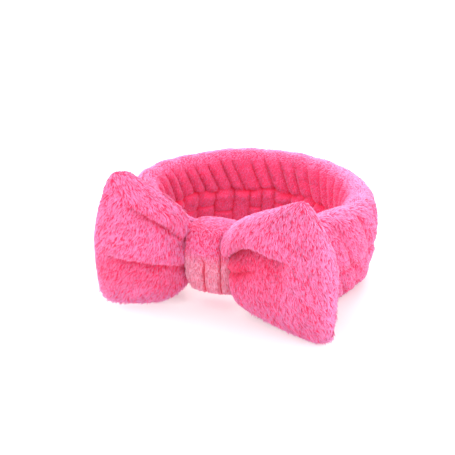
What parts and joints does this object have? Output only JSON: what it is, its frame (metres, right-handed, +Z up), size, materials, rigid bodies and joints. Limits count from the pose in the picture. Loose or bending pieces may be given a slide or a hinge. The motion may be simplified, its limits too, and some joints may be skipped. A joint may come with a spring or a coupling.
{
  "type": "spa headband",
  "caption": "Stretch headband of plush fleece gathered on elastic, with a padded two-wing bow held by a wrapped knot.",
  "frame": {"origin": "bottom centre of the whole headband's box, on the surface that the band stands on", "axes": "+Z up through the head opening, the bow faces -Y, +X is to the right seen from the bow's side"},
  "size_m": [0.1933, 0.2008, 0.1015],
  "materials": {
    "coral_fleece": "deep plush pile, matte with a soft sheen",
    "knot_fleece": "short plush pile, paler towards the lower half",
    "woven_elastic": "ribbed woven elastic",
    "polyester_wadding": "loose fibre filling",
    "sewing_thread": "twisted polyester thread"
  },
  "bodies": {
    "front": {"band_cover_front": "coral_fleece", "elastic_front": "woven_elastic", "seam_thread_front": "sewing_thread", "cross_seam_thread": "sewing_thread", "knot_wrap": "knot_fleece", "knot_closing_thread": "sewing_thread", "waist_front_layer": "coral_fleece", "waist_back_layer": "coral_fleece", "waist_gathering_thread": "sewing_thread"},
    "rear": {"band_cover_rear": "coral_fleece", "elastic_rear": "woven_elastic", "seam_thread_rear": "sewing_thread"},
    "left_wing": {"left_wing_front_panel": "coral_fleece", "left_wing_back_panel": "coral_fleece", "left_wing_wadding": "polyester_wadding", "left_wing_edge_thread": "sewing_thread"},
    "right_wing": {"right_wing_front_panel": "coral_fleece", "right_wing_back_panel": "coral_fleece", "right_wing_wadding": "polyester_wadding", "right_wing_edge_thread": "sewing_thread"}
  },
  "joints": [
    {"name": "band_stretch", "type": "slide", "parent": "front", "child": "rear", "axis": [0, 1, 0], "range_m": [-0.03, 0.06], "stiffness_N_per_m": 80, "deforming": ["band_cover_front", "band_cover_rear", "elastic_front", "elastic_rear", "seam_thread_front", "seam_thread_rear"]},
    {"name": "left_wing_swing", "type": "hinge", "parent": "front", "child": "left_wing", "pos_m": [-0.019, -0.066, 0.042], "axis": [0, 0, 1], "range_deg": [-8, 35], "stiffness_Nm_per_rad": 0.03},
    {"name": "right_wing_swing", "type": "hinge", "parent": "front", "child": "right_wing", "pos_m": [0.019, -0.066, 0.042], "axis": [0, 0, -1], "range_deg": [-8, 35], "stiffness_Nm_per_rad": 0.03}
  ]
}
